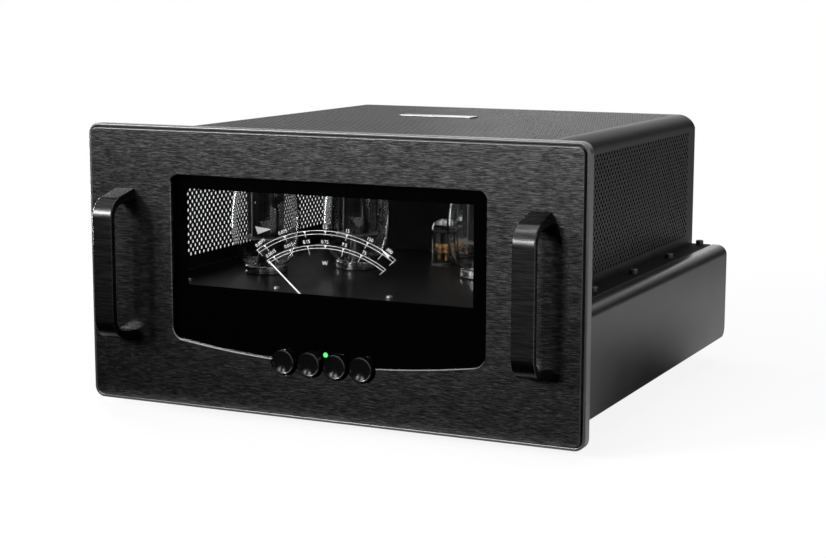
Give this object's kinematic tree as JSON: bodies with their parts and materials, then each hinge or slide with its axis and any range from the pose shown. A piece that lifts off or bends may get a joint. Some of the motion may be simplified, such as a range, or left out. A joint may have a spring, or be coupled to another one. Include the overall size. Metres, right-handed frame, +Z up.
{
  "type": "monoblock valve amplifier",
  "caption": "Monoblock valve power amplifier: brushed front plate with handles, clear window with a power meter needle, push buttons, perforated valve cage and rear terminals.",
  "frame": {"origin": "middle of the whole object's box, on the plane the feet stand on", "axes": "+Z up, the front plate faces -Y, +X to the right seen from the front"},
  "size_m": [0.4826, 0.522, 0.2615],
  "materials": {
    "black_anodised": "horizontally brushed, black anodised",
    "clear_panel": "clear, polished",
    "black_mask": "black print behind a clear panel",
    "black_paint": "satin black",
    "grey_steel": "satin dark grey",
    "plated_steel": "zinc plated",
    "chassis_satin": "satin black anodised",
    "deck_paint": "satin dark grey",
    "cage_paint": "satin black powder coat",
    "bright_plate": "brushed",
    "rubber": "matte",
    "switch_plastic": "moulded",
    "board_green": "solder mask",
    "brass_fittings": "turned",
    "green_light": "lit green light guide",
    "needle_white": "white",
    "tube_plate": "carbonised plate",
    "tube_glass": "clear blown glass",
    "tube_chrome": "polished",
    "socket_plastic": "moulded",
    "transformer_paint": "satin black can, potted",
    "capacitor_sleeve": "sleeve",
    "gold_plate": "gold plated",
    "nut_black": "moulded grip",
    "nut_red": "moulded grip",
    "button_gloss": "turned, gloss black"
  },
  "bodies": {
    "case": {"faceplate": "black_anodised", "faceplate_screws": "plated_steel", "window_panel": "clear_panel", "window_mask": "black_mask", "window_retainer": "black_paint", "front_subpanel": "grey_steel", "handle_left": "black_anodised", "handle_right": "black_anodised", "handle_screws": "plated_steel", "side_rail_left": "chassis_satin", "side_rail_right": "chassis_satin", "bottom_pan": "chassis_satin", "rear_panel": "chassis_satin", "deck_plate": "deck_paint", "deck_screws": "plated_steel", "cage_cover": "cage_paint", "cage_screws": "black_paint", "top_badge": "bright_plate", "feet": "rubber", "foot_screws": "plated_steel", "button_switches": "switch_plastic", "control_board": "board_green", "board_standoffs": "brass_fittings", "status_led": "green_light", "meter_movement": "switch_plastic", "meter_bracket": "plated_steel", "power_tube_1_glass": "tube_glass", "power_tube_2_glass": "tube_glass", "power_tube_3_glass": "tube_glass", "power_tube_4_glass": "tube_glass", "power_tube_1_base": "tube_chrome", "power_tube_2_base": "tube_chrome", "power_tube_3_base": "tube_chrome", "power_tube_4_base": "tube_chrome", "power_tube_plates": "tube_plate", "driver_tube_1": "tube_glass", "driver_tube_2": "tube_glass", "driver_tube_plates": "tube_plate", "tube_sockets": "socket_plastic", "power_transformer": "transformer_paint", "output_transformer": "transformer_paint", "main_board": "board_green", "filter_capacitors": "capacitor_sleeve", "ac_inlet": "switch_plastic", "fuse_holder": "switch_plastic", "balanced_input": "socket_plastic", "binding_posts": "gold_plate"},
    "button_1": {"push_button_1": "button_gloss"},
    "button_2": {"push_button_2": "button_gloss"},
    "button_3": {"push_button_3": "button_gloss"},
    "button_4": {"push_button_4": "button_gloss"},
    "nut_1": {"post_nut_1": "nut_black"},
    "nut_2": {"post_nut_2": "nut_red"},
    "nut_3": {"post_nut_3": "nut_red"},
    "nut_4": {"post_nut_4": "nut_red"},
    "needle": {"meter_needle": "needle_white"},
    "fuse_knob": {"fuse_cap": "switch_plastic"}
  },
  "joints": [
    {"name": "button_1_press", "type": "slide", "parent": "case", "child": "button_1", "axis": [0, 1, 0], "range_m": [0, 0.0025], "stiffness_N_per_m": 600},
    {"name": "button_2_press", "type": "slide", "parent": "case", "child": "button_2", "axis": [0, 1, 0], "range_m": [0, 0.0025], "stiffness_N_per_m": 600},
    {"name": "button_3_press", "type": "slide", "parent": "case", "child": "button_3", "axis": [0, 1, 0], "range_m": [0, 0.0025], "stiffness_N_per_m": 600},
    {"name": "button_4_press", "type": "slide", "parent": "case", "child": "button_4", "axis": [0, 1, 0], "range_m": [0, 0.0025], "stiffness_N_per_m": 600},
    {"name": "needle_swing", "type": "hinge", "parent": "case", "child": "needle", "pos_m": [0, -0.2128, 0.0955], "axis": [0, 1, 0], "range_deg": [0, 98], "stiffness_Nm_per_rad": 0.0002},
    {"name": "nut_1_turn", "type": "hinge", "parent": "case", "child": "nut_1", "pos_m": [-0.15, 0.247, 0.078], "axis": [0, 1, 0], "continuous": true},
    {"name": "nut_2_turn", "type": "hinge", "parent": "case", "child": "nut_2", "pos_m": [-0.116, 0.247, 0.078], "axis": [0, 1, 0], "continuous": true},
    {"name": "nut_3_turn", "type": "hinge", "parent": "case", "child": "nut_3", "pos_m": [-0.082, 0.247, 0.078], "axis": [0, 1, 0], "continuous": true},
    {"name": "nut_4_turn", "type": "hinge", "parent": "case", "child": "nut_4", "pos_m": [-0.048, 0.247, 0.078], "axis": [0, 1, 0], "continuous": true},
    {"name": "fuse_twist", "type": "hinge", "parent": "case", "child": "fuse_knob", "pos_m": [0.092, 0.242, 0.078], "axis": [0, 1, 0], "range_deg": [0, 60]}
  ]
}
